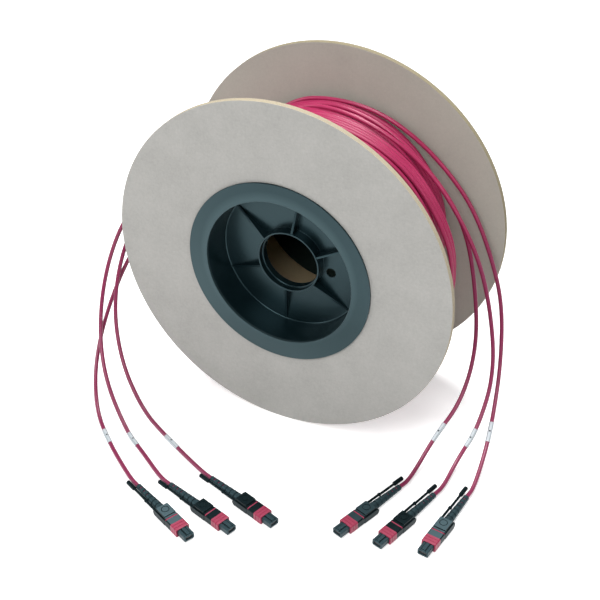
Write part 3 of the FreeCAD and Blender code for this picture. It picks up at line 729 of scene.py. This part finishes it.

# %% [markdown]
# Plugs. A plug is drawn once in its own millimetres, with the tip of the nose at zero and +X forward, and
# then copied to its six places. `skin` is the tool for the moulded housings: it draws a rectangle with round
# corners at each station and joins each to the next with a band of faces, and the last to the first, which
# gives a tube with stepped walls. Drawing the corners round is cleaner than a bevel, which frays at the
# steps. The plastic has three tones: black for the tabs, a duller one for noses and boots, and a pale one
# that is painted sheen on the tops of some tabs, where they catch the light. One more tab top gets the
# duller tone as painted sheen.

# %% Plug helpers
PLUG_ROUGH, PLUG_GRAIN, PLUG_TINT = 0.4, 5000.0, colour(0.4, 0.85, 1.0)


def plug_plastic(name, dark, light, specular):
    return moulded(name, dark, light, PLUG_ROUGH, PLUG_GRAIN, specular, PLUG_TINT)


PLUG_BLACK = plug_plastic("plug_black", colour(0.002, 0.004, 0.005), colour(0.004, 0.008, 0.009), 0.2)
PLUG_DULL = plug_plastic("plug_dull", colour(0.02, 0.036, 0.042), colour(0.028, 0.046, 0.053), 0.3)
# The pale tone, and the tones the table gives the tab tops, are painted sheen standing in for light on those
# tops.
PLUG_SHEEN = plug_plastic("plug_sheen", colour(0.052, 0.08, 0.09), colour(0.066, 0.1, 0.112), 0.35)
TAB_TOP_SHEENS = {"left_1": PLUG_SHEEN, "left_2": PLUG_BLACK, "left_3": PLUG_BLACK,
            "right_1": PLUG_DULL, "right_2": PLUG_BLACK, "right_3": PLUG_SHEEN}
CORNER_STEPS = 5
print("plug finishes:", PLUG_BLACK.name, PLUG_DULL.name, PLUG_SHEEN.name)


def round_rectangle(half_width, half_height, corner):
    outline = []
    for quarter, (side, top) in enumerate([(1, 1), (-1, 1), (-1, -1), (1, -1)]):
        for step in range(CORNER_STEPS + 1):
            turn = math.pi / 2 * (quarter + step / CORNER_STEPS)
            outline.append((side * (half_width - corner) + corner * math.cos(turn),
                            top * (half_height - corner) + corner * math.sin(turn)))
    return outline


def skin(stations):
    """A tube round the plug's axis: each station's distance back, half width, half height and corner."""
    bm = bmesh.new()
    rings = []
    for back, *shape in stations:
        rings.append([bm.verts.new((-back, across, up)) for across, up in round_rectangle(*shape)])
    for first, second in zip(rings, rings[1:] + rings[:1]):
        for i in range(len(first)):
            bm.faces.new((first[i - 1], first[i], second[i], second[i - 1]))
    bmesh.ops.recalc_face_normals(bm, faces=bm.faces)
    return bm


def box(bm, front, back, half_width, low, high, across=0.0):
    """A block between two distances behind the nose and two heights."""
    size = Matrix.Diagonal((back - front, 2 * half_width, high - low, 1.0))
    middle = Matrix.Translation((-(front + back) / 2, across, (low + high) / 2))
    bmesh.ops.create_cube(bm, size=1.0, matrix=middle @ size)


def rod(bm, front, back, radius, across=0.0, up=0.0):
    lying = Matrix.Translation((-(front + back) / 2, across, up)) @ Matrix.Rotation(math.pi / 2, 4, "Y")
    bmesh.ops.create_cone(bm, cap_ends=True, segments=24, radius1=radius, radius2=radius,
                          depth=back - front, matrix=lying)


def long_edges(bm, beyond):
    """Edges that run along the plug, at least this far out from its axis."""
    return [e for e in edges_where(bm, lambda v: abs(v.y) > beyond)
            if abs((e.verts[0].co - e.verts[1].co).normalized().x) > 0.99]


# %% [markdown]
# The nose is the inner housing: a flat-sided tube with rounded long edges, a window in front through which
# the ferrule shows, and a key on top that tells which way up the plug goes. Two fine grooves run beside the
# key. They are carved out before the key is set on.

# %% Nose
NOSE_BACK, WINDOW_BACK = 19, 8.95
NOSE_OUTSIDE, NOSE_INSIDE, NOSE_WINDOW = (4.6, 2.7, 0.8), (3.8, 1.8, 0.5), (3.3, 1.35, 0.5)
NOSE_EDGE, KEY_EDGE = 0.15, 0.2
NOSE_KEY = {"front": 1.2, "back": 9.0, "half_width": 1.5, "low": 1.9, "high": 3.55}
NOSE_GROOVE = {"front": -0.5, "back": 9.5, "half_width": 0.42, "low": 2.05, "high": 3.5}
GROOVES_ACROSS = (-1.95, 1.95)


def nose_shell():
    bm = skin([(0, *NOSE_OUTSIDE), (NOSE_BACK, *NOSE_OUTSIDE), (NOSE_BACK, *NOSE_INSIDE),
               (WINDOW_BACK, *NOSE_INSIDE), (WINDOW_BACK, *NOSE_WINDOW), (0, *NOSE_WINDOW)])
    round_edges(bm, sharp_edges(bm, 50), NOSE_EDGE, 2)
    grooves = bmesh.new()
    for across in GROOVES_ACROSS:
        box(grooves, **NOSE_GROOVE, across=across)
    return carved(bm, grooves)


def nose_key():
    bm = bmesh.new()
    box(bm, **NOSE_KEY)
    round_edges(bm, sharp_edges(bm), KEY_EDGE, 2)
    return bm


nose_mesh = joined("nose", PLUG_DULL, nose_shell(), nose_key())
print("nose has", len(nose_mesh.polygons), "faces")

# %% [markdown]
# The sliding sleeve is magenta. Only its collar shows, and a thin rib that looks out through a slot in the
# black tab. The collar has rounded edges and two fine grooves all round for the fingers. Each groove is
# four more stations in its skin.

# %% Sliding sleeve
PLUG_MAGENTA = moulded("plug_magenta", colour(0.3, 0.024, 0.064), colour(0.37, 0.036, 0.09),
                       rough=0.38, grain_scale=PLUG_GRAIN)
COLLAR_FRONT, COLLAR_BACK, SLEEVE_BACK = 9.2, 17.2, 25.4
COLLAR, COLLAR_GROOVE = (6.25, 3.85, 1.1), (5.95, 3.55, 0.8)
SLEEVE_OUTSIDE, SLEEVE_INSIDE = (5.65, 3.25, 0.5), (4.8, 2.9, 0.4)
GROOVE_FRONTS, GROOVE_WIDTH, COLLAR_EDGE = (11.5, 14.4), 0.5, 0.25
SLEEVE_RIB = {"front": 23.7, "back": 24.7, "half_width": 5.0, "low": 3.0, "high": 3.7}
SLEEVE_RIB_EDGE = 0.1


def sleeve_shell():
    stations = [(COLLAR_FRONT, *COLLAR)]
    for front in GROOVE_FRONTS:
        back = front + GROOVE_WIDTH
        stations += [(front, *COLLAR), (front, *COLLAR_GROOVE), (back, *COLLAR_GROOVE), (back, *COLLAR)]
    stations += [(COLLAR_BACK, *COLLAR), (COLLAR_BACK, *SLEEVE_OUTSIDE), (SLEEVE_BACK, *SLEEVE_OUTSIDE),
                 (SLEEVE_BACK, *SLEEVE_INSIDE), (COLLAR_FRONT, *SLEEVE_INSIDE)]
    bm = skin(stations)
    rims = [e for e in sharp_edges(bm, 50) if all(abs(v.co.x + COLLAR_FRONT) < NEAR for v in e.verts)]
    round_edges(bm, rims, COLLAR_EDGE, 2)
    return bm


def sleeve_rib():
    bm = bmesh.new()
    box(bm, **SLEEVE_RIB)
    round_edges(bm, sharp_edges(bm), SLEEVE_RIB_EDGE, 2)
    return bm


sleeve_mesh = joined("sleeve", PLUG_MAGENTA, sleeve_shell(), sleeve_rib())
print("sleeve has", len(sleeve_mesh.polygons), "faces")

# %% [markdown]
# The pull tab is the black clip behind the collar: a band round the sleeve with a slot across its top, a
# raised pad with a round mark for the thumb, a rail down each side with a rounded end, and a long thin rod
# that ends in a knob. The pad is a bent section pushed out along the plug, and the rails are pushed out
# across it. The mark is a ring carved out of the pad. The rod is a row of round stretches, each with its
# front, its back, its radius and its place across the plug. The tops of some tabs get a painted sheen, a
# paler tone where they catch the light, so the faces on top get a material slot of their own.

# %% Pull tab
BAND_HALF_WIDTH, BAND_TOP, BAND_CORNER, BAND_EDGE = 6.2, 3.8, 1.2, 0.12
SADDLE_SECTION = [(-6.2, -3.8), (6.2, -3.8), (6.2, 2.7), (5.6, 2.7),
                  (5.6, -3.2), (-5.6, -3.2), (-5.6, 2.7), (-6.2, 2.7)]
PAD_TOP, PAD_CEILING, ROOF_EDGE = 4.9, 3.9, 0.22
MARK_OUTLINE, MARK_BACK = [(2.75, 0, 4.5), (3.35, 0, 4.5), (3.35, 0, 5.5), (2.75, 0, 5.5)], 33.4
RAIL_OUTLINE = [(-25.3, -3.3), (-42, -3.3), (-42, 2.4), (-25.3, 2.4)]
RAIL_INSIDE, RAIL_THICKNESS, RAIL_END_RADIUS, RAIL_EDGE = 4.7, 1.7, 2.6, 0.35
ROD_STRETCHES = [(40, 54, 1.05, -5.1), (53.2, 54.8, 1.55, -4.9), (54, 72, 1.05, -4.7),
                 (71.5, 81.5, 1.85, -4.7)]
ROD_UP, ROD_EDGE = 1.3, 0.3
TOP_WITHIN, FACING_UP = 0.05, 0.9


def tab_band(front, back):
    outside = (BAND_HALF_WIDTH, BAND_TOP, BAND_CORNER)
    bm = skin([(front, *outside), (back, *outside), (back, *SLEEVE_OUTSIDE), (front, *SLEEVE_OUTSIDE)])
    round_edges(bm, sharp_edges(bm, 50), BAND_EDGE, 2)
    return bm


def tab_saddle(front, back):
    """What joins the band's two rings under the slot."""
    bm = pushed([(-front, across, up) for across, up in SADDLE_SECTION], (front - back, 0, 0))
    corners = [e for e in long_edges(bm, BAND_HALF_WIDTH - NEAR) if e.verts[0].co.z < 0]
    round_edges(bm, corners, BAND_CORNER, 4)
    return bm


def tab_roof(front, back, ceiling, top):
    """A stretch of the tab behind the band, open below."""
    section = [(-5.4, -3.3), (-4.7, -3.3), (-4.7, ceiling), (4.7, ceiling),
               (4.7, -3.3), (5.4, -3.3), (5.4, top), (-5.4, top)]
    bm = pushed([(-front, across, up) for across, up in section], (front - back, 0, 0))
    round_edges(bm, sharp_edges(bm), ROOF_EDGE, 2)
    return bm


def thumb_pad():
    mark = spun(MARK_OUTLINE, (0, 0, 1), 48)
    bmesh.ops.translate(mark, vec=(-MARK_BACK, 0, 0), verts=mark.verts)
    return carved(tab_roof(front=26.6, back=38.6, ceiling=PAD_CEILING, top=PAD_TOP), mark)


def tab_rail(side):
    outline = [(along, side * RAIL_INSIDE, up) for along, up in RAIL_OUTLINE]
    bm = pushed(outline, (0, side * RAIL_THICKNESS, 0))
    at_end = edges_where(bm, lambda v: v.x < RAIL_OUTLINE[1][0] + NEAR)
    across = [e for e in at_end if abs(e.verts[0].co.y - e.verts[1].co.y) > NEAR]
    round_edges(bm, across, RAIL_END_RADIUS, 6)
    round_edges(bm, sharp_edges(bm), RAIL_EDGE, 3)
    return bm


def tab_rod():
    bm = bmesh.new()
    for front, back, radius, across in ROD_STRETCHES:
        rod(bm, front, back, radius, across, ROD_UP)
    round_edges(bm, sharp_edges(bm, 60), ROD_EDGE, 2)
    return bm


tab_mesh = joined("tab", PLUG_BLACK, tab_band(front=17.2, back=23.5), tab_saddle(front=23.3, back=25.1),
                  tab_band(front=24.9, back=25.5),
                  tab_roof(front=25.3, back=26.8, ceiling=3.0, top=BAND_TOP),
                  thumb_pad(), tab_rail(1), tab_rail(-1), tab_rod())
tab_mesh.materials.append(PLUG_BLACK)
# Upward faces on the tops take the second slot, which holds the tab top's painted sheen.
for face in tab_mesh.polygons:
    on_top = min(abs(face.center.z - BAND_TOP), abs(face.center.z - PAD_TOP)) < TOP_WITHIN
    face.material_index = int(on_top and face.normal.z > FACING_UP)
print("tab has", len(tab_mesh.polygons), "faces")

# %% [markdown]
# The boot is a soft tapered sleeve that keeps the cable from kinking. It is a spun section of rings and
# necks, so that it can bend, and small openings in the last necks show the jacket inside.

# %% Boot
BOOT_FRONT, BOOT_SHOULDER, BOOT_BACK = 29.2, 43, 73
BOOT_RADIUS, BOOT_END_RADIUS, BOOT_BORE, BOOT_EDGE, BOOT_STEPS = 3.75, 2.5, 1.9, 0.2, 36
CRIMP_BACK, CRIMP_RADIUS = 38.2, 2.5
RING_COUNT, RING_PITCH, NECK_LENGTH, NECK_SHARE = 6, 5.0, 1.4, 0.45
OPEN_FROM, OPENING_GAP, OPENING_HALF_WIDTH = 3, 0.15, 1.3
OPENING_HEIGHTS = ((1.0, 4.0), (-4.0, -1.0))


def boot_body():
    outline = [(-BOOT_FRONT, CRIMP_RADIUS), (-BOOT_FRONT, BOOT_RADIUS), (-BOOT_SHOULDER, BOOT_RADIUS)]
    for number in range(RING_COUNT):
        start = BOOT_SHOULDER + RING_PITCH * number
        radius = BOOT_RADIUS - (BOOT_RADIUS - BOOT_END_RADIUS) * (number + 1) / RING_COUNT
        neck = BOOT_BORE + (radius - BOOT_BORE) * NECK_SHARE
        outline += [(-start, neck), (-start - NECK_LENGTH, neck), (-start - NECK_LENGTH, radius),
                    (-start - RING_PITCH, radius)]
    outline += [(-BOOT_BACK, BOOT_BORE), (-CRIMP_BACK, BOOT_BORE), (-CRIMP_BACK, CRIMP_RADIUS)]
    bm = spun([(x, radius, 0) for x, radius in outline], (1, 0, 0), BOOT_STEPS)
    rims = [e for e in sharp_edges(bm, 50) if e.is_convex]
    round_edges(bm, rims, BOOT_EDGE, 2)
    openings = bmesh.new()
    for number in range(OPEN_FROM, RING_COUNT):
        front = BOOT_SHOULDER + RING_PITCH * number + OPENING_GAP
        for low, high in OPENING_HEIGHTS:
            box(openings, front, front + NECK_LENGTH - 2 * OPENING_GAP, OPENING_HALF_WIDTH, low, high)
    return carved(bm, openings)


boot_mesh = joined("boot", PLUG_DULL, boot_body())
print("boot has", len(boot_mesh.polygons), "faces")

# %% [markdown]
# The six plugs. Each mesh is copied, and its place is put into the copy's vertices. The sleeve and the tab
# ride on the body that slides to release the plug, and the rest stays with the reel. Each tab's top gets the
# painted sheen tone that its leg has in the table above. The ferrule, its spring and the piece behind them
# are shown as the solid model has them.

# %% Place the plugs
FERRULE_RESIN = moulded("ferrule_resin", colour(0.03, 0.03, 0.032), colour(0.05, 0.05, 0.052), 0.3, 6000.0)
SPRING_STEEL = moulded("spring_steel", colour(0.45, 0.45, 0.46), colour(0.6, 0.6, 0.61), 0.28, 5000.0)
SPRING_STEEL.node_tree.nodes["Principled BSDF"].inputs["Metallic"].default_value = 1.0
INNER_PIECES = [("rear_body_", PLUG_DULL), ("ferrule_", FERRULE_RESIN), ("ferrule_spring_", SPRING_STEEL)]

plug_pieces = {leg: [] for leg in LEGS}
for leg in LEGS:
    place = plug_place(leg)
    for kind, template, body, slot, node in (
        ("nose_", nose_mesh, "reel", "plug_black", "inner_housing_"),
        ("sleeve_", sleeve_mesh, "release_" + leg, "plug_magenta", "outer_housing_"),
        ("tab_", tab_mesh, "release_" + leg, "plug_black", "pull_tab_"),
        ("strain_relief_", boot_mesh, "reel", "plug_black", "boot_"),
    ):
        copy = template.copy()
        copy.transform(place)
        if kind == "tab_":
            copy.materials[1] = TAB_TOP_SHEENS[leg]
        plug_pieces[leg].append(add_piece(kind + leg, copy, body, slot, node + leg))
    for kind, material in INNER_PIECES:
        plug_pieces[leg].append(refinish(kind + leg, material))
print("placed", sum(len(pieces) for pieces in plug_pieces.values()), "plug pieces")

# %% [markdown]
# Label sleeves. A printed white sleeve is shrunk round each leg. It follows the cable, so its rings are set
# along points read from the leg's own curve, and bridged. Each vertex keeps how far along the sleeve it is,
# how far to the side and how high. From that the material puts a grey seam along each side and one small
# dark print mark on top.

# %% Label sleeves
LABEL_LENGTH, LABEL_RADIUS, LABEL_SIDES, LABEL_EDGE = 16.0 * MM, 2.05 * MM, 24, 0.12 * MM
SEAM_SIDE, SEAM_REACH = 0.68, 0.1
PRINT_ALONG, PRINT_LENGTH, PRINT_WIDTH = 0.46, 0.04, 0.35


def label_film():
    material, tree, shader, place = principled("label_film")
    film = add_node(tree, "Group", {"Vector": place, "Grain Scale": 2500.0, "Cloud Scale": 120.0},
                    node_tree=FINE_GRAIN).outputs
    on_label = add_node(tree, "Attribute", attribute_name="label_place").outputs["Vector"]
    axes = add_node(tree, "SeparateXYZ", {0: on_label}).outputs
    white = mix_colours(tree, film["Cloud"], colour(0.47, 0.52, 0.55), colour(0.56, 0.61, 0.64))
    seam = math_node(tree, "COMPARE", math_node(tree, "ABSOLUTE", axes["Y"]), SEAM_SIDE, SEAM_REACH)
    seamed = mix_colours(tree, seam, white, colour(0.3, 0.33, 0.36))
    in_line = math_node(tree, "MULTIPLY", math_node(tree, "COMPARE", axes["X"], PRINT_ALONG, PRINT_LENGTH),
                        math_node(tree, "COMPARE", axes["Y"], 0.0, PRINT_WIDTH))
    mark = math_node(tree, "MULTIPLY", in_line, math_node(tree, "GREATER_THAN", axes["Z"], 0.0))
    printed = mix_colours(tree, mark, seamed, colour(0.02, 0.03, 0.035))
    tree.links.new(printed, shader.inputs["Base Color"])
    shader.inputs["Roughness"].default_value = 0.4
    bump(tree, shader, film["Grain"], 0.2, GRAIN_DEPTH)
    return material


LABEL_FILM = label_film()


def label_path(leg):
    """The stretch of a leg's line that its label covers."""
    low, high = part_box("label_sleeve_" + leg)
    line = leg_lines[leg]
    centre = min(range(len(line)), key=lambda i: (line[i] - (low + high) / 2).length)
    first, last = centre, centre
    while line_length(line[first:centre + 1]) < LABEL_LENGTH / 2:
        first -= 1
    while line_length(line[centre:last + 1]) < LABEL_LENGTH / 2:
        last += 1
    return line[first:last + 1]


def label(leg):
    path = label_path(leg)
    bm = bmesh.new()
    layer = bm.verts.layers.float_vector.new("label_place")
    rings = []
    for i, point in enumerate(path):
        ahead = path[min(i + 1, len(path) - 1)] - path[max(i - 1, 0)]
        to_side = ahead.cross((0, 0, 1)).normalized()
        turned = Matrix.Translation(point) @ ahead.to_track_quat("Z", "Y").to_matrix().to_4x4()
        ring = bmesh.ops.create_circle(bm, segments=LABEL_SIDES, radius=LABEL_RADIUS, matrix=turned)["verts"]
        for vert in ring:
            out = (vert.co - point).normalized()
            vert[layer] = (i / (len(path) - 1), out.dot(to_side), out.z)
        rings.append(list({edge for vert in ring for edge in vert.link_edges}))
    for a, b in zip(rings, rings[1:]):
        bmesh.ops.bridge_loops(bm, edges=a + b)
    bmesh.ops.holes_fill(bm, edges=rings[0] + rings[-1], sides=LABEL_SIDES)
    round_edges(bm, sharp_edges(bm, 50), LABEL_EDGE, 2)
    mesh = joined("label_" + leg, LABEL_FILM, bm)
    return add_piece("label_" + leg, mesh, "reel", "label_film", "label_sleeve_" + leg)


for leg in LEGS:
    plug_pieces[leg].append(label(leg))
print("labels are", LABEL_LENGTH / MM, "mm long")
